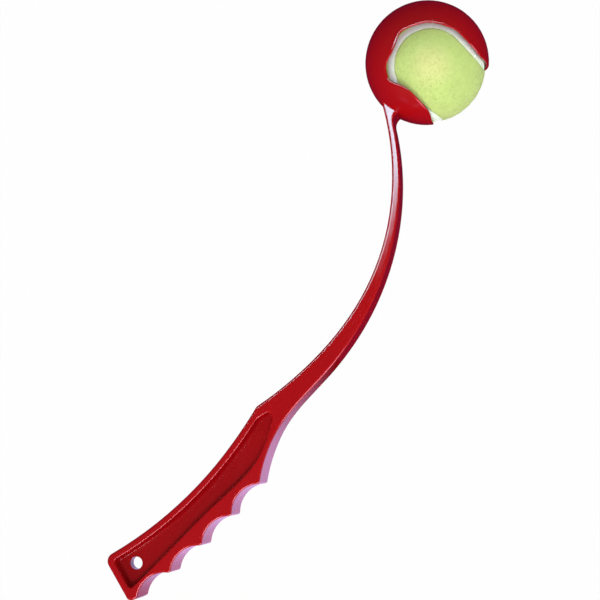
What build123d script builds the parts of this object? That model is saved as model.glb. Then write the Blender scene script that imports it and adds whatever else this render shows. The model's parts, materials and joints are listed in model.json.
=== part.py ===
"""A ball thrower for dogs, lying on its side, with the tennis ball that it holds.

The origin is the centre of the hang hole. +X runs along the throw line to the centre of the
cup, +Z is square to the plane in which the thrower swings, and the fingers hold the -Y side.
The thrower is one moulding: a grip, a springy arm and an open cup. The ball is two rubber
half shells, two panels of felt and the seam between the panels. All sizes are in millimetres.
"""

import os
from math import acos, cos, degrees, radians, sin, sqrt, tan

from build123d import *

os.makedirs("parts", exist_ok=True)

# Driving dimensions of the thrower
reach = 343.0
grip_width = 25.0
grip_length = 135.0
grip_depth = 26.0
arm_width = 20.0
arm_bow = 41.7
neck_thickness = 4.7
root_thickness = 9.8
cup_radius = 36.7
cup_wall = 1.9
overrun = 5.0

# Driving dimensions of the ball
ball_diameter = 65.0
felt_thickness = 2.8
rubber_thickness = 3.4
seam_width = 5.0
seam_recess = 0.35
lip_clearance = 0.4

# The cup, whose mouth turns towards the fingers by this angle from the throw line
mouth_bearing = -104.0
cup_bore_radius = cup_radius - cup_wall
lip_reach = 28.0
lip_radius = 5.0
jaw_half_gap = 21.4
cheek_half_gap = 24.8
cheek_depth = 4.0
cheek_radius = 1.5
arch_depth = 15.7
# The outside lies off the bore's centre, so the wall thins towards the lower lip. This and the
# rounding of the rim are shares of the wall.
outside_shift_share = 0.19
rim_round_share = 0.3
outside_shift = outside_shift_share * cup_wall

# The side windows: places across the mouth as shares of the jaw gap and back from the cup's
# centre as shares of the arch, named from the upper jaw round to the lower one
arch_shares = [(1.0, -0.5), (0.94, -0.21), (0.65, 0.47), (0.28, 0.82), (-0.05, 1.0)]
arch_shares += [(-0.5, 0.78), (-0.96, 0.6)]
lower_jaw_shares = [(-1.06, -0.3), (-1.0, -0.95)]

# The grip: outline points as shares of its length and depth, from the hang hole
shoulder_shares = (0.863, -0.642)
back_middle_shares = (0.444, -0.396)
heel_shares = (-0.044, 0.635)
foot_shares = (-0.147, -0.375)
first_cusp_shares = (0.585, -1.595)
last_cusp_shares = (-0.113, -0.48)
throat_shares = [(0.719, -1.392), (0.837, -1.338)]
heel_radius = 5.0
foot_radius = 3.0
cusp_radius = 1.6
finger_count = 4
finger_depth = 5.3
finger_line_bow = 3.6
edge_round = 1.4
shoulder_radius = 3.0

# The hollow on each side of the grip, whose far end is rounded by shares of its width there,
# and the hang hole through the web between them
back_rim = 3.9
butt_rim = 4.0
web_thickness = 7.0
back_run = 0.953
hollow_tip_shares = (0.874, -0.945)
end_round_share = 0.3
tip_round_share = 0.22
hollow_corner_radius = 2.4
hollow_floor_round = 2.6
hollow_edge_round = 0.7
hang_hole_diameter = 7.5
# The bends of the hollow's finger side, as shares of the grip's length and depth
hollow_bend_shares = [(0.86, -1.09), (0.77, -1.22), (0.674, -1.28), (0.578, -1.215)]
hollow_bend_shares += [(0.4, -0.946), (0.119, -0.56), (-0.16, -0.16)]

# The arm's middle line, from inside the cup to the grip: places as shares of the way from the
# end of the grip to the outside of the cup, and of the bow
arm_course_shares = [(1.0379, -0.269), (0.9055, 0.198), (0.761, 0.595), (0.5845, 0.873)]
arm_course_shares += [(0.41, 0.99), (0.2335, 0.975), (0.0871, 0.854), (-0.0413, 0.695)]
# How far the arm has thickened from neck to root, at shares of its middle line
thickening_shares = [(0.0, 0.0), (0.26, 0.0), (0.47, 0.23), (0.66, 0.67), (0.86, 1.23)]
flare_start_share = 0.088
flare_radius = 6.4
flare_turn = 80.0
# Where the grip starts to narrow to the arm's width, as a share of its length, and how much
# longer than its narrowing this stretch is
narrow_start_share = 0.68
narrowing_slowness = 8.1

cup_centre = Vector(reach, 0, 0)
mouth = Plane(
    origin=cup_centre,
    x_dir=(cos(radians(mouth_bearing)), sin(radians(mouth_bearing)), 0),
    z_dir=(0, 0, 1),
)


def on_grip(shares):
    """A point of the grip's outline, from its shares of the grip's length and depth."""
    return Vector(shares[0] * grip_length, shares[1] * grip_depth, 0)


def in_window(shares):
    """A point of the window's outline, from its shares across the mouth and back from it."""
    return Vector(-shares[1] * arch_depth, shares[0] * jaw_half_gap, 0)


arm_span = reach - cup_radius - grip_length
course = Spline(
    *[Vector(grip_length + x * arm_span, -y * arm_bow, 0) for x, y in arm_course_shares],
    mode=Mode.PRIVATE,
)


def beside_arm(along, thickening, side):
    """A point on the arm's back (side 1) or front (side -1), square to its middle line."""
    thickness = neck_thickness + thickening * (root_thickness - neck_thickness)
    outwards = (course % along).rotate(Axis.Z, -90)
    return course @ along + outwards * (side * thickness / 2)


def nearest(sketch, places):
    """The corners of a sketch that lie nearest to the given places."""
    return [sketch.vertices().sort_by_distance(place)[0] for place in places]


shoulder = on_grip(shoulder_shares)
heel = on_grip(heel_shares)
foot = on_grip(foot_shares)
hollow_tip = on_grip(hollow_tip_shares)
arm_back = [beside_arm(along, thick, 1) for along, thick in thickening_shares]
arm_front = [beside_arm(along, thick, -1) for along, thick in thickening_shares[1:]]
arm_front.insert(0, beside_arm(flare_start_share, 0, -1))
throat = [on_grip(shares) for shares in throat_shares]

# The cusps between the fingers, evenly spaced on a shallow arc
first_cusp = on_grip(first_cusp_shares)
last_cusp = on_grip(last_cusp_shares)
finger_line = SagittaArc(first_cusp, last_cusp, finger_line_bow, mode=Mode.PRIVATE)
cusps = [finger_line @ (n / finger_count) for n in range(finger_count + 1)]
grip_back = ThreePointArc(heel, on_grip(back_middle_shares), shoulder, mode=Mode.PRIVATE)

butt_inwards = (heel - foot).normalized().rotate(Axis.Z, -90)
butt_plane = Plane(origin=heel, z_dir=butt_inwards)


def inside_back(along):
    """A point of the hollow's back edge, inside a point of the grip's back."""
    outwards = (grip_back.arc_center - grip_back @ along).normalized()
    return grip_back @ along - outwards * back_rim


with BuildPart() as thrower:
    # The side view: the arm and the grip in one outline
    with BuildSketch() as side_view:
        with BuildLine():
            Spline(*arm_back, shoulder)
            add(grip_back)
            Polyline(heel, foot, last_cusp)
            for n in range(finger_count, 0, -1):
                SagittaArc(cusps[n], cusps[n - 1], finger_depth)
            arm_front_edge = Spline(first_cusp, *throat, *reversed(arm_front))
            flare = JernArc(arm_front_edge @ 1, arm_front_edge % 1, flare_radius, -flare_turn)
            Line(flare @ 1, arm_back[0])
        make_face()
        fillet(nearest(side_view, cusps), cusp_radius)
        fillet(nearest(side_view, [heel]), heel_radius)
        fillet(nearest(side_view, [foot]), foot_radius)
        fillet(nearest(side_view, [shoulder]), shoulder_radius)
    extrude(amount=grip_width / 2, both=True)
    # Seen from the back, the grip narrows to the arm
    narrow_start = narrow_start_share * grip_length
    narrow_end = narrow_start + narrowing_slowness * (grip_width - arm_width)
    with BuildSketch(Plane.XZ):
        with BuildLine():
            swell = Spline(
                (narrow_start, grip_width / 2),
                (narrow_end, arm_width / 2),
                tangents=[(1, 0), (1, 0)],
            )
            Polyline(
                swell @ 1,
                (reach, arm_width / 2),
                (reach, 0),
                (-grip_length, 0),
                (-grip_length, grip_width / 2),
                swell @ 0,
            )
        make_face()
        mirror(about=Plane.XZ)
    extrude(amount=reach, both=True, mode=Mode.INTERSECT)
    # The long edges are rounded, short of the cup
    side_edges = thrower.edges().filter_by(lambda edge: abs(edge.center().Z) >= arm_width / 2)
    side_edges = side_edges.filter_by(Axis.Y, reverse=True)
    fillet(side_edges.filter_by(lambda edge: edge.center().X < reach - cup_radius), edge_round)

    # A hollow in each side of the grip leaves a web between them
    for side in (1, -1):
        with BuildSketch(Plane.XY.offset(side * web_thickness / 2)) as hollow:
            with BuildLine():
                hollow_back = ThreePointArc(
                    [inside_back(share * back_run) for share in (0, 0.5, 1)]
                )
                finger_side = Spline([on_grip(shares) for shares in hollow_bend_shares])
                Polyline(hollow_back @ 1, hollow_tip, finger_side @ 0)
                Line(finger_side @ 1, hollow_back @ 0)
            make_face()
            split(bisect_by=butt_plane.offset(butt_rim), keep=Keep.TOP)
            far_corners = [hollow_back @ 1, finger_side @ 0]
            far_width = (far_corners[0] - far_corners[1]).length
            butt_corners = hollow.vertices() - nearest(hollow, [*far_corners, hollow_tip])
            fillet(butt_corners, hollow_corner_radius)
            fillet(nearest(hollow, [hollow_tip]), tip_round_share * far_width)
            fillet(nearest(hollow, far_corners), end_round_share * far_width)
        extrude(amount=side * grip_width / 2, mode=Mode.SUBTRACT)
        new_edges = thrower.edges(Select.LAST).filter_by(Axis.Z, reverse=True)
        half_way_up = (web_thickness + grip_width) / 4
        floor_edges = new_edges.filter_by(lambda edge: abs(edge.center().Z) < half_way_up)
        fillet(floor_edges, hollow_floor_round)
        fillet(new_edges - floor_edges, hollow_edge_round)

    # The hang hole, right through the web
    with BuildSketch():
        Circle(hang_hole_diameter / 2)
    extrude(amount=web_thickness, both=True, mode=Mode.SUBTRACT)

    # The cup: a shell open at its mouth and at the ball's two sides
    with Locations(mouth * Pos(-outside_shift, outside_shift)):
        Sphere(cup_radius)
    with Locations(mouth):
        Sphere(cup_bore_radius, mode=Mode.SUBTRACT)
    beyond = cup_radius + overrun
    cheek = Vector(-cheek_depth, -cheek_half_gap, 0)
    lips = [Vector(lip_reach, jaw_half_gap, 0), Vector(lip_reach, -jaw_half_gap, 0)]
    with BuildSketch(mouth) as window:
        with BuildLine():
            arch = Spline(
                *[in_window(shares) for shares in arch_shares],
                cheek,
                tangents=[(-1, 0), (0.8, -0.6)],
            )
            lower_jaw = Spline(
                cheek,
                *[in_window(shares) for shares in lower_jaw_shares],
                tangents=[(1, 0), (1, 0)],
            )
            Polyline(
                lower_jaw @ 1,
                lips[1],
                (lip_reach, -beyond),
                (beyond, -beyond),
                (beyond, beyond),
                (lip_reach, beyond),
                lips[0],
                arch @ 0,
            )
        make_face()
        fillet(nearest(window, lips), lip_radius)
        fillet(nearest(window, [cheek]), cheek_radius)
    extrude(amount=beyond, both=True, mode=Mode.SUBTRACT)
    fillet(thrower.edges(Select.LAST), rim_round_share * cup_wall)
thrower.part.label = "thrower_moulding"
export_step(thrower.part, "parts/thrower_moulding.step")

# The ball lies in the cup against both lips, its seam turned as these directions in the
# mouth's frame say
ball_radius = ball_diameter / 2
core_radius = ball_radius - felt_thickness
lip_cosine = sqrt(1 - (jaw_half_gap / cup_bore_radius) ** 2)
ball_shift = (cup_bore_radius - ball_radius - lip_clearance) / lip_cosine
ball_centre = mouth.from_local_coords(Vector(ball_shift, 0, 0))
ball_side = mouth.from_local_coords(Vector(0.2508, -0.7711, 0.5852)) - cup_centre
ball_pole = mouth.from_local_coords(Vector(-0.9453, -0.0648, 0.3196)) - cup_centre
ball = Plane(origin=ball_centre, x_dir=ball_side, z_dir=ball_pole)

# The seam is four arcs on the sphere, round four centres at this latitude, each to the next
lobe_latitude = 5.0
lobe_east = cos(radians(lobe_latitude)) / sqrt(2)
lobe_north = sin(radians(lobe_latitude))
lobe_radius = degrees(acos(lobe_east))
lobe_turn = 360 - degrees(acos(-1 / tan(radians(lobe_radius)) ** 2))


def ball_direction(east, side, north):
    """A direction in the ball's own frame."""
    return ball.from_local_coords(Vector(east, side, north)) - ball_centre


def seam_loop(width, inner_radius, outer_radius, mode):
    """The band of the seam between two radii, as four turned arcs in one closed loop."""
    half_angle = degrees(width / 2 / ball_radius)
    for east, side in [(1, 1), (1, -1), (-1, -1), (-1, 1)]:
        lobe = ball_direction(east * lobe_east, side * lobe_east, east * side * lobe_north)
        joint = ball_direction(0, side, 0)
        across = Plane(origin=ball_centre, x_dir=joint, z_dir=lobe.cross(joint))
        with BuildSketch(across) as band:
            with BuildLine():
                outer = CenterArc((0, 0), outer_radius, -half_angle, 2 * half_angle)
                inner = CenterArc((0, 0), inner_radius, -half_angle, 2 * half_angle)
                Line(outer @ 0, inner @ 0)
                Line(outer @ 1, inner @ 1)
            make_face()
        lobe_axis = Axis(ball_centre, lobe)
        revolve(band.sketch, axis=lobe_axis, revolution_arc=lobe_turn, mode=mode)


with BuildPart() as seam:
    seam_loop(seam_width, core_radius, ball_radius - seam_recess, Mode.ADD)
seam.part.label = "ball_seam"
export_step(seam.part, "parts/ball_seam.step")

# The rubber core: two half shells, joined square to the ball's own axis
for name, keep in [("a", Keep.TOP), ("b", Keep.BOTTOM)]:
    with BuildPart() as core_half:
        with Locations(ball):
            Sphere(core_radius)
            Sphere(core_radius - rubber_thickness, mode=Mode.SUBTRACT)
        split(bisect_by=ball, keep=keep)
    core_half.part.label = "ball_core_half_" + name
    export_step(core_half.part, "parts/ball_core_half_" + name + ".step")

# The felt: a shell over the core, cut into two panels by the seam
with BuildPart() as felt:
    with Locations(ball):
        Sphere(ball_radius)
        Sphere(core_radius, mode=Mode.SUBTRACT)
    seam_loop(seam_width, core_radius - overrun, ball_radius + overrun, Mode.SUBTRACT)
panels = felt.solids().sort_by(Axis(ball_centre, ball_pole))
for name, panel in zip("ab", panels):
    with BuildPart() as felt_panel:
        add(panel)
    felt_panel.part.label = "ball_felt_panel_" + name
    export_step(felt_panel.part, "parts/ball_felt_panel_" + name + ".step")
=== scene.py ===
import json
import math

import bpy
import numpy as np
from mathutils import Matrix, Vector


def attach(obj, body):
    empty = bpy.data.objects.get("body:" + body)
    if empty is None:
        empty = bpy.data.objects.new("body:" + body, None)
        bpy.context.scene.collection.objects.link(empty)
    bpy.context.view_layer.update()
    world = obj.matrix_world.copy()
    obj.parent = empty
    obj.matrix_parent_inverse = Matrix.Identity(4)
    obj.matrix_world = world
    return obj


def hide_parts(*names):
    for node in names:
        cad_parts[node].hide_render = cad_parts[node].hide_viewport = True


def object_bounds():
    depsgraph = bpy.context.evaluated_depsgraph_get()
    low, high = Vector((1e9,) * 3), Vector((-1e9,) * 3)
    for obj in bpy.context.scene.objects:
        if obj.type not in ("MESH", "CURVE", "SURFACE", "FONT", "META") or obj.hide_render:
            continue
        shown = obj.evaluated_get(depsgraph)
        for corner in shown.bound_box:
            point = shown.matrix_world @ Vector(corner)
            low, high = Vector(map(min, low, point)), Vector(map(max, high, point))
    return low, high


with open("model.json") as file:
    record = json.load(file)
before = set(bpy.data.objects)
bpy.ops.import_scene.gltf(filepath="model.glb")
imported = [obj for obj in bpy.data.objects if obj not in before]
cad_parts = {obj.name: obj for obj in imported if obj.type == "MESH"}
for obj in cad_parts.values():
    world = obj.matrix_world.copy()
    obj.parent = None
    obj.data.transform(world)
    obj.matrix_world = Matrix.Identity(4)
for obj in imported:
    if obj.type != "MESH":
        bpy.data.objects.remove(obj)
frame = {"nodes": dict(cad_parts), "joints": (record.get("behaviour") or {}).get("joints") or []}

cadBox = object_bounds()
print("frame loaded:", ", ".join(sorted(frame["nodes"])))

# Small helpers


def addNode(tree, kind, x=0, y=0, **values):
    node = tree.nodes.new(kind)
    node.location = (x, y)
    for name, value in values.items():
        setattr(node, name, value)
    return node


def setInputs(node, **values):  # socket names without their spaces
    for socket in node.inputs:
        bareName = socket.name.replace(" ", "")
        if bareName in values and socket.enabled:
            socket.default_value = values[bareName]


def newMaterial(name):
    material = bpy.data.materials.new(name)
    material.use_nodes = True
    tree = material.node_tree
    tree.nodes.clear()
    output = addNode(tree, "ShaderNodeOutputMaterial", 900, 0)
    shader = addNode(tree, "ShaderNodeBsdfPrincipled", 600, 0)
    tree.links.new(shader.outputs["BSDF"], output.inputs["Surface"])
    return material, tree, shader


def newGroup(name, inputs, outputs):  # inputs: name -> (socket kind, value)
    group = bpy.data.node_groups.new(name, "ShaderNodeTree")
    for label, (kind, value) in inputs.items():
        socket = group.interface.new_socket(label, in_out="INPUT", socket_type=kind)
        socket.default_value = value
    for label, kind in outputs.items():
        group.interface.new_socket(label, in_out="OUTPUT", socket_type=kind)
    start = addNode(group, "NodeGroupInput", -900, 0)
    end = addNode(group, "NodeGroupOutput", 900, 0)
    return group, start, end


def placeGroup(tree, group, x, y, values):
    node = addNode(tree, "ShaderNodeGroup", x, y, node_tree=group)
    for label, value in values.items():
        node.inputs[label].default_value = value
    return node


def dress(nodeName, material):  # a CAD node keeps its shape and takes this finish
    slots = frame["nodes"][nodeName].data.materials
    slots.clear()
    slots.append(material)


def clearSelection():
    if bpy.context.mode != "OBJECT":
        bpy.ops.object.mode_set(mode="OBJECT")
    bpy.ops.object.select_all(action="DESELECT")


# Camera

viewSettings = {
    "place": (0.178995, -0.178859, 0.809),
    "imageRight": (0.50126, -0.84657, -0.17906),
    "imageUp": (0.86528, 0.48914, 0.10966),
    "lens": 83.5,
    "sensor": 36.0,
    "clip": (0.01, 60.0),
}


def addCamera(place, imageRight, imageUp, lens, sensor, clip):
    data = bpy.data.cameras.new("photoCamera")
    data.lens, data.sensor_width = lens, sensor
    data.clip_start, data.clip_end = clip
    camera = bpy.data.objects.new("photoCamera", data)
    bpy.context.scene.collection.objects.link(camera)
    right = Vector(imageRight).normalized()
    up = Vector(imageUp)
    up = (up - up.dot(right) * right).normalized()
    turn = Matrix((right, up, right.cross(up))).transposed()
    camera.matrix_world = Matrix.Translation(place) @ turn.to_4x4()
    bpy.context.scene.camera = camera


addCamera(**viewSettings)
bpy.context.scene.view_settings.view_transform = "Standard"

# Floor

floorSettings = {
    "size": 30.0,
    "middle": (0.18, 0.0),
    "gap": 0.0002,
    "colour": (0.40, 0.38, 0.42, 1),
    "roughness": 0.8,
    "specular": 0.1,
    "paper": (1.0, 1.0, 1.0, 1),
    "paperShare": 0.985,
    "mirrored": (0.085, 0.006, 0.036, 1),
}


def floorMaterial():
    material, tree, shader = newMaterial("paleFloor")
    setInputs(
        shader,
        BaseColor=floorSettings["colour"],
        Roughness=floorSettings["roughness"],
        SpecularIORLevel=floorSettings["specular"],
    )
    # the camera sees nearly plain paper with a trace of the shadow, and the gloss a dark room
    paper = addNode(tree, "ShaderNodeEmission", 600, -300)
    paper.inputs["Color"].default_value = floorSettings["paper"]
    dark = addNode(tree, "ShaderNodeEmission", 600, -500)
    dark.inputs["Color"].default_value = floorSettings["mirrored"]
    paths = addNode(tree, "ShaderNodeLightPath", 300, 300)
    seen = addNode(tree, "ShaderNodeMath", 500, 300, operation="MULTIPLY")
    seen.inputs[1].default_value = floorSettings["paperShare"]
    forCamera = addNode(tree, "ShaderNodeMixShader", 750, 100)
    forGloss = addNode(tree, "ShaderNodeMixShader", 950, 100)
    output = next(node for node in tree.nodes if node.type == "OUTPUT_MATERIAL")
    link = tree.links.new
    link(paths.outputs["Is Camera Ray"], seen.inputs[0])
    link(seen.outputs[0], forCamera.inputs["Fac"])
    link(shader.outputs["BSDF"], forCamera.inputs[1])
    link(paper.outputs["Emission"], forCamera.inputs[2])
    link(paths.outputs["Is Glossy Ray"], forGloss.inputs["Fac"])
    link(forCamera.outputs["Shader"], forGloss.inputs[1])
    link(dark.outputs["Emission"], forGloss.inputs[2])
    link(forGloss.outputs["Shader"], output.inputs["Surface"])
    return material


clearSelection()
bpy.ops.mesh.primitive_plane_add(
    size=floorSettings["size"],
    location=(*floorSettings["middle"], cadBox[0].z - floorSettings["gap"]),
)
floor = bpy.context.object
floor.name = "floor"
floor.data.materials.append(floorMaterial())

# Studio light

# an even soft fill that doesn't show in the gloss, and plain paper behind the floor's edge
worldSettings = {
    "fill": (0.54, 0.67, 0.61, 1),
    "mirrored": (0.030, 0.028, 0.040, 1),
    "paper": (1.0, 1.0, 1.0, 1),
}


def lightRoom():
    world = bpy.data.worlds.new("studio")
    bpy.context.scene.world = world
    world.use_nodes = True
    tree = world.node_tree
    tree.nodes.clear()
    output = addNode(tree, "ShaderNodeOutputWorld", 600, 0)
    background = addNode(tree, "ShaderNodeBackground", 400, 0)
    paths = addNode(tree, "ShaderNodeLightPath", -100, 200)
    room = addNode(tree, "ShaderNodeMix", 100, 0, data_type="RGBA")
    room.inputs["A"].default_value = worldSettings["fill"]
    room.inputs["B"].default_value = worldSettings["mirrored"]
    paper = addNode(tree, "ShaderNodeMix", 250, 0, data_type="RGBA")
    paper.inputs["B"].default_value = worldSettings["paper"]
    link = tree.links.new
    link(paths.outputs["Is Glossy Ray"], room.inputs["Factor"])
    link(paths.outputs["Is Camera Ray"], paper.inputs["Factor"])
    link(room.outputs["Result"], paper.inputs["A"])
    link(paper.outputs["Result"], background.inputs["Color"])
    link(background.outputs["Background"], output.inputs["Surface"])


def addSun(name, towards, strength, width, colour):  # width in degrees
    data = bpy.data.lights.new(name, "SUN")
    data.energy, data.angle, data.color = strength, math.radians(width), colour
    lamp = bpy.data.objects.new(name, data)
    lamp.rotation_mode = "QUATERNION"
    lamp.rotation_quaternion = Vector(towards).to_track_quat("Z", "Y")
    lamp.visible_glossy = False
    bpy.context.scene.collection.objects.link(lamp)


sunSettings = {
    "frontSun": {
        "towards": (-0.25, -0.28, 1.0),
        "strength": 1.45,
        "width": 15.0,
        "colour": (1.0, 0.66, 0.88),
    },
    "sideSun": {
        "towards": (-1.0, -0.1, 0.35),
        "strength": 2.0,
        "width": 60.0,
        "colour": (1.0, 0.86, 0.80),
    },
    "lowSun": {
        "towards": (0.25, -1.0, 0.22),
        "strength": 1.5,
        "width": 50.0,
        "colour": (1.0, 0.88, 0.80),
    },
}

# glowing panels that only the gloss sees, each fading over a share of its length and width
# the flag is dark: it keeps the neck's light out of the grip's hollow
panelSettings = {
    "neckBox": {
        "place": (0.496, 0.229, 0.90),
        "target": (0.496, 0.229, 0.0),
        "along": (0.50, -0.85, 0.0),
        "size": (1.30, 0.40),
        "glow": 26.0,
        "fade": (0.02, 0.24),
        "colour": (0.40, 0.84, 1.0),
    },
    "gripBox": {
        "place": (-0.17, -0.46, 0.15),
        "target": (0.06, 0.0, 0.0),
        "along": (0.88, -0.44, 0.0),
        "size": (0.66, 0.40),
        "glow": 12.0,
        "fade": (0.15, 0.30),
        "colour": (1.0, 0.66, 0.78),
    },
    "gripCard": {
        "place": (0.080, -0.073, -0.0123),
        "target": (0.080, -0.073, 0.5),
        "along": (0.50, -0.85, 0.0),
        "size": (0.30, 0.17),
        "glow": 1.35,
        "fade": (0.10, 0.36),
        "colour": (0.66, 0.54, 1.0),
    },
    "neckFlag": {
        "place": (0.161, 0.045, 0.30),
        "target": (0.161, 0.045, 0.0),
        "along": (0.50, -0.85, 0.0),
        "size": (0.60, 0.17),
        "glow": 0.0,
        "fade": (0.01, 0.01),
        "colour": (0.0, 0.0, 0.0),
    },
}


def panelMaterial(name, glow, fade, colour):
    material, tree, shader = newMaterial(name)
    setInputs(
        shader,
        BaseColor=(0.0, 0.0, 0.0, 1),
        Roughness=1.0,
        SpecularIORLevel=0.0,
        EmissionColor=(*colour, 1),
    )
    where = addNode(tree, "ShaderNodeTexCoord", -600, 0)
    ways = addNode(tree, "ShaderNodeSeparateXYZ", -400, 0)
    strength = addNode(tree, "ShaderNodeMath", 400, -200, operation="MULTIPLY")
    link = tree.links.new
    link(where.outputs["Object"], ways.inputs[0])
    for axis, most in [(0, glow), (1, 1.0)]:
        off = addNode(tree, "ShaderNodeMath", -200, -200 * axis, operation="ABSOLUTE")
        share = addNode(tree, "ShaderNodeMapRange", 0, -200 * axis)
        share.interpolation_type = "SMOOTHSTEP"
        setInputs(share, FromMin=0.5 - fade[axis], FromMax=0.5, ToMin=most, ToMax=0.0)
        link(ways.outputs[axis], off.inputs[0])
        link(off.outputs[0], share.inputs["Value"])
        link(share.outputs["Result"], strength.inputs[axis])
    link(strength.outputs[0], shader.inputs["Emission Strength"])
    material.cycles.emission_sampling = "NONE"
    return material


def addPanel(name, place, target, along, size, glow, fade, colour):
    clearSelection()
    bpy.ops.mesh.primitive_plane_add(size=1.0)
    panel = bpy.context.object
    panel.name = name
    back = (Vector(place) - Vector(target)).normalized()
    side = (Vector(along) - Vector(along).dot(back) * back).normalized()
    turn = Matrix((side, back.cross(side), back)).transposed().to_4x4()
    spread = Matrix.Diagonal((*size, 1.0, 1.0))
    panel.matrix_world = Matrix.Translation(place) @ turn @ spread
    panel.data.materials.append(panelMaterial(name, glow, fade, colour))
    panel.visible_camera = panel.visible_diffuse = panel.visible_shadow = False


lightRoom()
for name, values in sunSettings.items():
    addSun(name, **values)
for name, values in panelSettings.items():
    addPanel(name, **values)
print("camera, floor and light set")

# Shared surface effects

effectSettings = {
    "driftNoise": {"Detail": 4.0, "Roughness": 0.55},
    "driftRange": (0.3, 0.7),
    "edgeSamples": 6,
    "edgeBend": (0.995, 0.86),
    "patchNoise": {"Detail": 6.0, "Roughness": 0.65},
    "patchRange": (0.42, 0.62),
    "rippleNoise": {"Detail": 2.0, "Roughness": 0.4},
    "grainNoise": {"Detail": 3.0, "Roughness": 0.6},
}


def makeDrift():  # brightness that drifts slowly over a surface
    group, start, end = newGroup(
        "colourDrift",
        {
            "Colour": ("NodeSocketColor", (0.5, 0.5, 0.5, 1)),
            "Scale": ("NodeSocketFloat", 20.0),
            "Amount": ("NodeSocketFloat", 0.1),
        },
        {"Colour": "NodeSocketColor"},
    )
    place = addNode(group, "ShaderNodeTexCoord", -700, -200)
    noise = addNode(group, "ShaderNodeTexNoise", -450, -100)
    setInputs(noise, **effectSettings["driftNoise"])
    spread = addNode(group, "ShaderNodeMapRange", -200, -100)
    lowest, highest = effectSettings["driftRange"]
    setInputs(spread, FromMin=lowest, FromMax=highest)
    darker = addNode(group, "ShaderNodeMath", -400, -350, operation="SUBTRACT")
    darker.inputs[0].default_value = 1.0
    lighter = addNode(group, "ShaderNodeMath", -400, -550, operation="ADD")
    lighter.inputs[0].default_value = 1.0
    bright = addNode(group, "ShaderNodeHueSaturation", 300, 0)
    link = group.links.new
    link(place.outputs["Object"], noise.inputs["Vector"])
    link(start.outputs["Scale"], noise.inputs["Scale"])
    link(noise.outputs["Fac"], spread.inputs["Value"])
    link(start.outputs["Amount"], darker.inputs[1])
    link(start.outputs["Amount"], lighter.inputs[1])
    link(darker.outputs[0], spread.inputs["To Min"])
    link(lighter.outputs[0], spread.inputs["To Max"])
    link(spread.outputs["Result"], bright.inputs["Value"])
    link(start.outputs["Colour"], bright.inputs["Color"])
    link(bright.outputs["Color"], end.inputs["Colour"])
    return group


def makeEdges():  # an edge mask in patches: where hands and the ground have rubbed an edge, and where the red takes a painted highlight
    group, start, end = newGroup(
        "rubbedAndHighlitEdges",
        {"Width": ("NodeSocketFloat", 0.001), "Breakup": ("NodeSocketFloat", 120.0)},
        {"Mask": "NodeSocketFloat"},
    )
    softNormal = addNode(group, "ShaderNodeBevel", -600, 100)
    softNormal.samples = effectSettings["edgeSamples"]
    surface = addNode(group, "ShaderNodeNewGeometry", -600, -100)
    same = addNode(group, "ShaderNodeVectorMath", -350, 0, operation="DOT_PRODUCT")
    bent = addNode(group, "ShaderNodeMapRange", -100, 0)
    flat, sharp = effectSettings["edgeBend"]
    setInputs(bent, FromMin=flat, FromMax=sharp)
    place = addNode(group, "ShaderNodeTexCoord", -600, -300)
    patches = addNode(group, "ShaderNodeTexNoise", -350, -300)
    setInputs(patches, **effectSettings["patchNoise"])
    patchy = addNode(group, "ShaderNodeMapRange", -100, -300)
    lowest, highest = effectSettings["patchRange"]
    setInputs(patchy, FromMin=lowest, FromMax=highest)
    worn = addNode(group, "ShaderNodeMath", 200, 0, operation="MULTIPLY")
    link = group.links.new
    link(start.outputs["Width"], softNormal.inputs["Radius"])
    link(softNormal.outputs["Normal"], same.inputs[0])
    link(surface.outputs["True Normal"], same.inputs[1])
    link(same.outputs["Value"], bent.inputs["Value"])
    link(place.outputs["Object"], patches.inputs["Vector"])
    link(start.outputs["Breakup"], patches.inputs["Scale"])
    link(patches.outputs["Fac"], patchy.inputs["Value"])
    link(bent.outputs["Result"], worn.inputs[0])
    link(patchy.outputs["Result"], worn.inputs[1])
    link(worn.outputs[0], end.inputs["Mask"])
    return group


def makeGrain():  # fine relief: a soft ripple with a finer grain over it
    group, start, end = newGroup(
        "fineGrain",
        {
            "Ripple Scale": ("NodeSocketFloat", 200.0),
            "Grain Scale": ("NodeSocketFloat", 1800.0),
            "Grain Share": ("NodeSocketFloat", 0.3),
        },
        {"Height": "NodeSocketFloat"},
    )
    place = addNode(group, "ShaderNodeTexCoord", -700, 0)
    ripple = addNode(group, "ShaderNodeTexNoise", -450, 150)
    setInputs(ripple, **effectSettings["rippleNoise"])
    grain = addNode(group, "ShaderNodeTexNoise", -450, -150)
    setInputs(grain, **effectSettings["grainNoise"])
    both = addNode(group, "ShaderNodeMix", -100, 0)
    link = group.links.new
    link(place.outputs["Object"], ripple.inputs["Vector"])
    link(place.outputs["Object"], grain.inputs["Vector"])
    link(start.outputs["Ripple Scale"], ripple.inputs["Scale"])
    link(start.outputs["Grain Scale"], grain.inputs["Scale"])
    link(start.outputs["Grain Share"], both.inputs["Factor"])
    link(ripple.outputs["Fac"], both.inputs["A"])
    link(grain.outputs["Fac"], both.inputs["B"])
    link(both.outputs["Result"], end.inputs["Height"])
    return group


driftGroup = makeDrift()
edgeGroup = makeEdges()
grainGroup = makeGrain()
print("shared effects built")

# The thrower's red plastic

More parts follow.
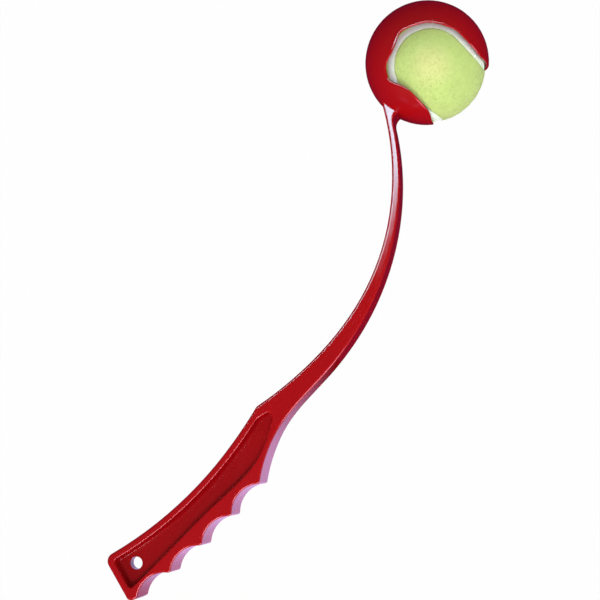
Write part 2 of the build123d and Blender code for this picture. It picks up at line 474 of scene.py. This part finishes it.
plasticSettings = {
    "ior": 1.52,
    "specular": 0.5,
    "red": (0.32, 0.0026, 0.0050, 1),
    "drift": {"Scale": 14.0, "Amount": 0.05},
    "edges": {"Width": 0.0012, "Breakup": 140.0},
    # paler red along the edges: partly rubbed wear and partly a painted highlight
    "rubbedRed": (0.42, 0.012, 0.018, 1),
    "rubbedShare": 0.35,
    "rubbedDullness": 0.12,
    "roughness": (0.15, 0.23),
    "scuffNoise": {"Scale": 1.0, "Detail": 5.0, "Roughness": 0.7},
    "scuffStretch": {"Rotation": (0.0, 0.0, 0.5), "Scale": (60.0, 900.0, 300.0)},
    "scuffRange": (0.45, 0.75),
    "grain": {"Ripple Scale": 90.0, "Grain Scale": 1400.0, "Grain Share": 0.12},
    "relief": {"Strength": 0.05, "Distance": 0.0004},
    "partingWidth": 0.00012,
    "partingHeight": 0.5,
    "softEdge": 0.0012,
    "softEdgeSamples": 16,
}


def paintRed(tree, shader, edges):  # slightly paler along the edges in patches: rubbed wear, and partly a painted highlight along the edges
    drift = placeGroup(tree, driftGroup, -300, 300, plasticSettings["drift"])
    drift.inputs["Colour"].default_value = plasticSettings["red"]
    faint = addNode(tree, "ShaderNodeMath", -300, 0, operation="MULTIPLY")
    faint.inputs[1].default_value = plasticSettings["rubbedShare"]
    rubAndHighlight = addNode(tree, "ShaderNodeMix", 0, 250, data_type="RGBA")
    rubAndHighlight.inputs["B"].default_value = plasticSettings["rubbedRed"]
    link = tree.links.new
    link(edges.outputs["Mask"], faint.inputs[0])
    link(faint.outputs[0], rubAndHighlight.inputs["Factor"])
    link(drift.outputs["Colour"], rubAndHighlight.inputs["A"])
    link(rubAndHighlight.outputs["Result"], shader.inputs["Base Color"])


def scuffGloss(tree, shader, edges):  # long thin scratches that only change the gloss
    place = addNode(tree, "ShaderNodeTexCoord", -1200, -300)
    stretch = addNode(tree, "ShaderNodeMapping", -1000, -300)
    setInputs(stretch, **plasticSettings["scuffStretch"])
    scuffs = addNode(tree, "ShaderNodeTexNoise", -800, -300)
    setInputs(scuffs, **plasticSettings["scuffNoise"])
    gloss = addNode(tree, "ShaderNodeMapRange", -550, -300)
    lowest, highest = plasticSettings["scuffRange"]
    shiny, dull = plasticSettings["roughness"]
    setInputs(gloss, FromMin=lowest, FromMax=highest, ToMin=shiny, ToMax=dull)
    rubbed = addNode(tree, "ShaderNodeMath", -100, -250, operation="MULTIPLY_ADD")
    rubbed.inputs[1].default_value = plasticSettings["rubbedDullness"]
    link = tree.links.new
    link(place.outputs["Object"], stretch.inputs["Vector"])
    link(stretch.outputs["Vector"], scuffs.inputs["Vector"])
    link(scuffs.outputs["Fac"], gloss.inputs["Value"])
    link(edges.outputs["Mask"], rubbed.inputs[0])
    link(gloss.outputs["Result"], rubbed.inputs[2])
    link(rubbed.outputs[0], shader.inputs["Roughness"])


def mouldRelief(tree, shader):  # the mould's polish, its parting line and the softened edges
    grain = placeGroup(tree, grainGroup, -600, -600, plasticSettings["grain"])
    place = addNode(tree, "ShaderNodeTexCoord", -1200, -700)
    height = addNode(tree, "ShaderNodeSeparateXYZ", -1000, -700)
    offLine = addNode(tree, "ShaderNodeMath", -800, -700, operation="ABSOLUTE")
    parting = addNode(tree, "ShaderNodeMapRange", -600, -800)
    setInputs(
        parting,
        FromMin=0.0,
        FromMax=plasticSettings["partingWidth"],
        ToMin=plasticSettings["partingHeight"],
        ToMax=0.0,
    )
    both = addNode(tree, "ShaderNodeMath", -300, -650, operation="ADD")
    softEdge = addNode(tree, "ShaderNodeBevel", -300, -850)
    softEdge.samples = plasticSettings["softEdgeSamples"]
    softEdge.inputs["Radius"].default_value = plasticSettings["softEdge"]
    bump = addNode(tree, "ShaderNodeBump", 0, -600)
    setInputs(bump, **plasticSettings["relief"])
    link = tree.links.new
    link(place.outputs["Object"], height.inputs[0])
    link(height.outputs["Z"], offLine.inputs[0])
    link(offLine.outputs[0], parting.inputs["Value"])
    link(grain.outputs["Height"], both.inputs[0])
    link(parting.outputs["Result"], both.inputs[1])
    link(both.outputs[0], bump.inputs["Height"])
    link(softEdge.outputs["Normal"], bump.inputs["Normal"])
    link(bump.outputs["Normal"], shader.inputs["Normal"])


redPlastic, tree, shader = newMaterial("redPlastic")
setInputs(shader, IOR=plasticSettings["ior"], SpecularIORLevel=plasticSettings["specular"])
edges = placeGroup(tree, edgeGroup, -600, 0, plasticSettings["edges"])
paintRed(tree, shader, edges)
scuffGloss(tree, shader, edges)
mouldRelief(tree, shader)
dress("thrower_moulding", redPlastic)
print("thrower dressed")

# The ball's rubber

rubberSettings = {
    "coreColour": (0.045, 0.045, 0.05, 1),
    "coreRoughness": 0.75,
    # painted light: the seam is set brighter than its rubber to offset the shade at the cup's rim
    "seamColour": (0.80, 1.0, 0.86, 1),
    "seamRoughness": 0.7,
    "specular": 0.35,
    "drift": {"Scale": 160.0, "Amount": 0.08},
    "edges": {"Width": 0.0008, "Breakup": 400.0},
    "rubbedDullness": 0.2,
    "grain": {"Ripple Scale": 700.0, "Grain Scale": 3500.0, "Grain Share": 0.5},
    "relief": {"Strength": 0.5, "Distance": 0.0002},
}


def rubberMaterial(name, colour, roughness):
    material, tree, shader = newMaterial(name)
    setInputs(shader, SpecularIORLevel=rubberSettings["specular"])
    drift = placeGroup(tree, driftGroup, -300, 200, rubberSettings["drift"])
    drift.inputs["Colour"].default_value = colour
    edges = placeGroup(tree, edgeGroup, -300, -50, rubberSettings["edges"])
    rubbed = addNode(tree, "ShaderNodeMapRange", 0, -50)
    setInputs(rubbed, ToMin=roughness, ToMax=roughness + rubberSettings["rubbedDullness"])
    grain = placeGroup(tree, grainGroup, -300, -400, rubberSettings["grain"])
    bump = addNode(tree, "ShaderNodeBump", 0, -400)
    setInputs(bump, **rubberSettings["relief"])
    link = tree.links.new
    link(drift.outputs["Colour"], shader.inputs["Base Color"])
    link(edges.outputs["Mask"], rubbed.inputs["Value"])
    link(rubbed.outputs["Result"], shader.inputs["Roughness"])
    link(grain.outputs["Height"], bump.inputs["Height"])
    link(bump.outputs["Normal"], shader.inputs["Normal"])
    return material


coreRubber = rubberMaterial(
    "coreRubber", rubberSettings["coreColour"], rubberSettings["coreRoughness"]
)
seamRubber = rubberMaterial(
    "seamRubber", rubberSettings["seamColour"], rubberSettings["seamRoughness"]
)
dress("ball_core_half_a", coreRubber)
dress("ball_core_half_b", coreRubber)
dress("ball_seam", seamRubber)
print("ball's rubber dressed")

# Where the ball lies in the cup

cupSettings = {
    "reach": 0.343,  # the cup's middle along x
    "mouthBearing": -104.0,
    "bore": 0.0348,
    "jawHalfGap": 0.0214,
    "clearance": 0.0001,
}

ballSpin = next(joint for joint in frame["joints"] if joint["name"] == "ball_spin")
ballCentre = Vector(ballSpin["pos_m"])
middle = np.array(ballCentre)
ballShift = (ballCentre - Vector((cupSettings["reach"], 0, 0))).length

# The seam's path: four arcs round the centres of the felt's lobes

seamSettings = {
    "width": 0.0050,
    "pole": (-0.9453, -0.0648, 0.3196),  # out of the cup's mouth, beside it and up
    "east": (0.2508, -0.7711, 0.5852),
    "lobeLatitude": 5.0,
}


def fromMouth(out, side, up):
    bearing = math.radians(cupSettings["mouthBearing"])
    mouthOut = Vector((math.cos(bearing), math.sin(bearing), 0))
    mouthSide = Vector((-math.sin(bearing), math.cos(bearing), 0))
    return (out * mouthOut + side * mouthSide + up * Vector((0, 0, 1))).normalized()


ballPole = fromMouth(*seamSettings["pole"])
ballEast = fromMouth(*seamSettings["east"])
ballEast = (ballEast - ballEast.dot(ballPole) * ballPole).normalized()
ballNorth = ballPole.cross(ballEast)
ballTurn = np.array([ballEast, ballNorth, ballPole])

lobeLatitude = math.radians(seamSettings["lobeLatitude"])
lobeEast = math.cos(lobeLatitude) / math.sqrt(2)
lobeRadius = math.acos(lobeEast)
lobeHalfTurn = math.pi - math.acos(-1 / math.tan(lobeRadius) ** 2) / 2

# The felt's panels

feltSettings = {
    "radius": 0.0325,
    "thickness": 0.0027,
    "detail": 7,
    "probe": 0.00002,
    "edgeDrop": 0.0004,
    "edgeRun": 0.0014,
    "lumpSize": 0.0022,
    "lumpDepth": 3,
    "lumpHeight": 0.00024,
    "roughness": 0.95,
    "specular": 0.15,
    "sheen": 0.35,
    "sheenRoughness": 0.5,
    "sheenTint": (0.93, 1.0, 0.70, 1),
    "green": (0.43, 0.60, 0.175, 1),
    "paleGreen": (0.49, 0.64, 0.23, 1),
    "drift": {"Scale": 90.0, "Amount": 0.06},
    # a paler, warmer middle to each lobe: a painted highlight
    "worn": (0.59, 0.67, 0.27, 1),
    "wornReach": (0.001, 0.018),
    "tuftNoise": {"Scale": 900.0, "Detail": 5.0, "Roughness": 0.7, "Distortion": 1.5},
    "tuftRange": (0.42, 0.66),
    "relief": {"Strength": 0.25, "Distance": 0.0003},
}


def readPoints(piece):
    coords = np.empty(len(piece.data.vertices) * 3)
    piece.data.vertices.foreach_get("co", coords)
    return coords.reshape(-1, 3)


def writePoints(piece, points):
    piece.data.vertices.foreach_set("co", points.ravel())
    piece.data.update()


def ontoSphere(points, radius):
    out = points - middle
    return middle + out / np.linalg.norm(out, axis=1)[:, None] * radius


def ballDirections(points):
    flat = (points - middle) @ ballTurn.T
    return flat / np.linalg.norm(flat, axis=1)[:, None]


def lobeCentres():
    for east, side in [(1, 1), (1, -1), (-1, -1), (-1, 1)]:
        up = east * side
        yield up, np.array([east * lobeEast, side * lobeEast, up * math.sin(lobeLatitude)])


def lobeDistance(points):  # along the sphere from the nearest lobe's centre
    flat = ballDirections(points)
    turns = [np.arccos(np.clip(flat @ lobe, -1, 1)) for up, lobe in lobeCentres()]
    return np.min(turns, axis=0) * feltSettings["radius"]


def seamDistance(points):  # along the sphere, positive on panel b and negative on panel a
    flat = ballDirections(points)
    nearest = np.full(len(flat), np.inf)
    inUpper = np.zeros(len(flat), bool)
    inLower = np.zeros(len(flat), bool)
    for up, lobe in lobeCentres():
        away = np.arccos(np.clip(flat @ lobe, -1, 1))
        poleward = np.array([0, 0, up]) - up * lobe[2] * lobe
        poleward /= np.linalg.norm(poleward)
        across = np.cross(lobe, poleward)
        bearing = np.abs(np.arctan2(flat @ across, flat @ poleward))
        onArc = np.where(bearing <= lobeHalfTurn, np.abs(away - lobeRadius), np.inf)
        nearest = np.minimum(nearest, onArc)
        if up > 0:
            inUpper |= away < lobeRadius
        else:
            inLower |= away < lobeRadius
    upper = inLower | (~inUpper & (flat[:, 2] > 0))
    return np.where(upper, nearest, -nearest) * feltSettings["radius"]


def insideSeam(points, side):  # how far each point lies inside its panel
    return side * seamDistance(points) - seamSettings["width"] / 2


def wayInwards(points, side):  # the slope of that distance at each point
    slope = np.empty_like(points)
    for axis in range(3):
        moved = points.copy()
        moved[:, axis] += feltSettings["probe"]
        slope[:, axis] = insideSeam(moved, side) - insideSeam(points, side)
    return slope / feltSettings["probe"]


def openEdgePoints(mesh):  # the points of the edges with one face
    uses = np.zeros(len(mesh.edges), int)
    lookup = {tuple(sorted(edge.vertices)): edge.index for edge in mesh.edges}
    for face in mesh.polygons:
        for pair in face.edge_keys:
            uses[lookup[tuple(sorted(pair))]] += 1
    return sorted({v for edge in mesh.edges if uses[edge.index] == 1 for v in edge.vertices})


def markLobes(piece, distance):  # for the painted highlight in the middle of each lobe
    marks = piece.data.attributes.new("fromLobe", "FLOAT", "POINT")
    marks.data.foreach_set("value", distance.astype(np.float32))


clearSelection()
bpy.ops.mesh.primitive_ico_sphere_add(
    subdivisions=feltSettings["detail"], radius=feltSettings["radius"], location=ballCentre
)
wholeFelt = bpy.context.object
bpy.ops.object.transform_apply(location=True, rotation=True, scale=True)

lumps = bpy.data.textures.new("feltLumps", "CLOUDS")
lumps.noise_scale, lumps.noise_depth = feltSettings["lumpSize"], feltSettings["lumpDepth"]


def makePanel(name, side):
    clearSelection()
    wholeFelt.select_set(True)
    bpy.context.view_layer.objects.active = wholeFelt
    bpy.ops.object.duplicate()
    panel = bpy.context.object
    panel.name = name
    # cut the panel out along the seam
    outside = insideSeam(readPoints(panel), side) < 0
    bpy.ops.object.mode_set(mode="EDIT")
    bpy.ops.mesh.select_all(action="DESELECT")
    bpy.ops.object.mode_set(mode="OBJECT")
    for face in panel.data.polygons:
        face.select = outside[list(face.vertices)].any()
    bpy.ops.object.mode_set(mode="EDIT")
    bpy.ops.mesh.delete(type="FACE")
    bpy.ops.object.mode_set(mode="OBJECT")
    # pull its edge onto the seam's side, and roll the edge down
    points = readPoints(panel)
    inside = insideSeam(points, side)
    rim = openEdgePoints(panel.data)
    points[rim] -= wayInwards(points[rim], side) * inside[rim][:, None]
    inside[rim] = 0
    run = np.clip(1 - inside / feltSettings["edgeRun"], 0, 1)
    drop = feltSettings["edgeDrop"] * (1 - np.sqrt(1 - run**2))
    writePoints(panel, ontoSphere(points, (feltSettings["radius"] - drop)[:, None]))
    # matted lumps, and a wall with its own thickness
    matted = panel.modifiers.new("matted", "DISPLACE")
    matted.texture, matted.texture_coords = lumps, "LOCAL"
    matted.strength, matted.mid_level = feltSettings["lumpHeight"], 0.5
    bpy.ops.object.modifier_apply(modifier="matted")
    wall = panel.modifiers.new("wall", "SOLIDIFY")
    wall.thickness, wall.offset = feltSettings["thickness"], -1.0
    bpy.ops.object.modifier_apply(modifier="wall")
    bpy.ops.object.shade_smooth()
    markLobes(panel, lobeDistance(readPoints(panel)))
    return panel


def paintLobeHighlight(tree, ownColour, worn):  # from a painted highlight colour in a lobe's middle to the felt's own colour
    distance = addNode(tree, "ShaderNodeAttribute", 0, 500, attribute_name="fromLobe")
    share = addNode(tree, "ShaderNodeMapRange", 150, 500, interpolation_type="SMOOTHSTEP")
    inner, outer = feltSettings["wornReach"]
    setInputs(share, FromMin=inner, FromMax=outer, ToMin=1.0, ToMax=0.0)
    mixed = addNode(tree, "ShaderNodeMix", 350, 300, data_type="RGBA")
    mixed.inputs["B"].default_value = worn
    tree.links.new(distance.outputs["Fac"], share.inputs["Value"])
    tree.links.new(share.outputs["Result"], mixed.inputs["Factor"])
    tree.links.new(ownColour, mixed.inputs["A"])
    return mixed.outputs["Result"]


def feltMaterial():  # matted wool: darker roots with paler tufts
    material, tree, shader = newMaterial("ballFelt")
    setInputs(
        shader,
        Roughness=feltSettings["roughness"],
        SpecularIORLevel=feltSettings["specular"],
        SheenWeight=feltSettings["sheen"],
        SheenRoughness=feltSettings["sheenRoughness"],
        SheenTint=feltSettings["sheenTint"],
    )
    drift = placeGroup(tree, driftGroup, -300, 300, feltSettings["drift"])
    drift.inputs["Colour"].default_value = feltSettings["green"]
    place = addNode(tree, "ShaderNodeTexCoord", -900, 0)
    matting = addNode(tree, "ShaderNodeTexNoise", -650, 0)
    setInputs(matting, **feltSettings["tuftNoise"])
    tufts = addNode(tree, "ShaderNodeMapRange", -400, 0)
    lowest, highest = feltSettings["tuftRange"]
    setInputs(tufts, FromMin=lowest, FromMax=highest)
    mixed = addNode(tree, "ShaderNodeMix", 0, 200, data_type="RGBA")
    mixed.inputs["B"].default_value = feltSettings["paleGreen"]
    bump = addNode(tree, "ShaderNodeBump", 0, -300)
    setInputs(bump, **feltSettings["relief"])
    link = tree.links.new
    link(place.outputs["Object"], matting.inputs["Vector"])
    link(matting.outputs["Fac"], tufts.inputs["Value"])
    link(tufts.outputs["Result"], mixed.inputs["Factor"])
    link(drift.outputs["Colour"], mixed.inputs["A"])
    colour = paintLobeHighlight(tree, mixed.outputs["Result"], feltSettings["worn"])
    link(colour, shader.inputs["Base Color"])
    link(matting.outputs["Fac"], bump.inputs["Height"])
    link(bump.outputs["Normal"], shader.inputs["Normal"])
    return material


# The felt's fibres

fuzzSettings = {
    "count": 18000,
    "length": (0.0010, 0.0030),
    "width": 0.000055,
    "joint": 0.5,
    "jointReach": 0.01,
    "belly": 1.7,
    "lift": (0.10, 0.75),
    "curl": 0.55,
    "sink": 0.0003,
    "rimGap": 0.0004,
    "seed": 11,
    "roughness": 0.8,
    "specular": 0.2,
    "colour": (0.47, 0.635, 0.23, 1),
    "drift": {"Scale": 900.0, "Amount": 0.08},
    # the fibres take the same painted highlight in each lobe's middle
    "worn": (0.58, 0.65, 0.27, 1),
}


def makeFibre():  # a three-sided spike of unit length, with a joint so that it can curl
    clearSelection()
    bpy.ops.mesh.primitive_cone_add(
        vertices=3, radius1=1.0, radius2=0.0, depth=1.0, location=(0, 0, 0.5)
    )
    fibre = bpy.context.object
    bpy.ops.object.transform_apply(location=True, rotation=True, scale=True)
    bpy.ops.object.mode_set(mode="EDIT")
    bpy.ops.mesh.select_all(action="SELECT")
    bpy.ops.mesh.bisect(plane_co=(0, 0, fuzzSettings["joint"]), plane_no=(0, 0, 1))
    bpy.ops.object.mode_set(mode="OBJECT")
    shape = readPoints(fibre)
    belly = np.abs(shape[:, 2] - fuzzSettings["joint"]) < fuzzSettings["jointReach"]
    shape[belly, :2] *= fuzzSettings["belly"]
    faces = [list(face.vertices) for face in fibre.data.polygons]
    bpy.data.objects.remove(fibre)
    return shape, faces


def clearOfCup(copies, z):  # z runs from 0 at a fibre's root to 1 at its tip
    # the turning ball clears the jaws, which press its fibres down, and no tip dips under the felt
    reach = copies - middle
    far = np.linalg.norm(reach, axis=2, keepdims=True)
    jawOut = cupSettings["bore"] ** 2 - cupSettings["jawHalfGap"] ** 2 - copies[:, :, 2:3] ** 2
    jawOut = np.sqrt(np.maximum(jawOut, 0))
    nearestCup = np.sqrt(cupSettings["bore"] ** 2 + ballShift**2 - 2 * ballShift * jawOut)
    most = nearestCup - cupSettings["clearance"]
    sink = fuzzSettings["sink"]
    least = feltSettings["radius"] - sink + z * (sink + fuzzSettings["width"])
    copies = middle + reach / far * np.clip(far, least, most)
    copies[:, :, 2] = np.maximum(copies[:, :, 2], cadBox[0].z)  # and none goes under the floor
    return copies


def growFuzz(name, side, seed):  # copies of the fibre, spread evenly over the panel
    luck = np.random.default_rng(seed)
    roots = ontoSphere(
        middle + luck.normal(size=(fuzzSettings["count"] * 3, 3)), feltSettings["radius"]
    )
    roots = roots[insideSeam(roots, side) > fuzzSettings["rimGap"]][: fuzzSettings["count"]]
    count = len(roots)
    up = roots - middle
    up /= np.linalg.norm(up, axis=1)[:, None]
    across = np.cross(up, luck.normal(size=(count, 3)))
    across /= np.linalg.norm(across, axis=1)[:, None]
    lift = luck.uniform(*fuzzSettings["lift"], size=(count, 1))
    ahead = up * np.sin(lift) + across * np.cos(lift)
    bend = np.cross(ahead, luck.normal(size=(count, 3)))
    bend /= np.linalg.norm(bend, axis=1)[:, None]
    third = np.cross(ahead, bend)
    length = luck.uniform(*fuzzSettings["length"], size=(count, 1, 1))
    curl = luck.uniform(-1, 1, size=(count, 1, 1)) * fuzzSettings["curl"]
    shape, faces = makeFibre()
    x, y, z = shape[None, :, 0:1], shape[None, :, 1:2], shape[None, :, 2:3]
    width = fuzzSettings["width"]
    copies = (
        (roots - up * fuzzSettings["sink"])[:, None, :]
        + ahead[:, None, :] * (z * length)
        + bend[:, None, :] * (x * width + curl * length * z**2)
        + third[:, None, :] * (y * width)
    )
    copies = clearOfCup(copies, z)
    steps = np.arange(count)[:, None] * len(shape)
    allFaces = []
    for face in faces:
        allFaces += (steps + np.array(face)[None, :]).tolist()
    mesh = bpy.data.meshes.new(name)
    mesh.from_pydata(copies.reshape(-1, 3).tolist(), [], allFaces)
    fuzz = bpy.data.objects.new(name, mesh)
    bpy.context.scene.collection.objects.link(fuzz)
    markLobes(fuzz, np.repeat(lobeDistance(roots), len(shape)))
    fuzz.visible_shadow = False
    clearSelection()
    fuzz.select_set(True)
    bpy.context.view_layer.objects.active = fuzz
    bpy.ops.object.mode_set(mode="EDIT")
    bpy.ops.mesh.select_all(action="SELECT")
    bpy.ops.mesh.normals_make_consistent(inside=False)
    bpy.ops.object.mode_set(mode="OBJECT")
    bpy.ops.object.shade_smooth()
    return fuzz


def fibreMaterial():
    material, tree, shader = newMaterial("feltFibres")
    setInputs(
        shader,
        Roughness=fuzzSettings["roughness"],
        SpecularIORLevel=fuzzSettings["specular"],
    )
    drift = placeGroup(tree, driftGroup, 0, 0, fuzzSettings["drift"])
    drift.inputs["Colour"].default_value = fuzzSettings["colour"]
    colour = paintLobeHighlight(tree, drift.outputs["Colour"], fuzzSettings["worn"])
    tree.links.new(colour, shader.inputs["Base Color"])
    return material


felt, fibres = feltMaterial(), fibreMaterial()
for letter, side in [("a", -1), ("b", 1)]:
    panel = makePanel("feltPanel_" + letter, side)
    panel.data.materials.append(felt)
    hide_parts("ball_felt_panel_" + letter)
    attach(panel, "ball")
    fuzz = growFuzz("feltFuzz_" + letter, side, fuzzSettings["seed"] + side)
    fuzz.data.materials.append(fibres)
    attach(fuzz, "ball")
    print("felt panel", letter, len(panel.data.polygons), "faces, fuzz", len(fuzz.data.polygons))
bpy.data.objects.remove(wholeFelt)
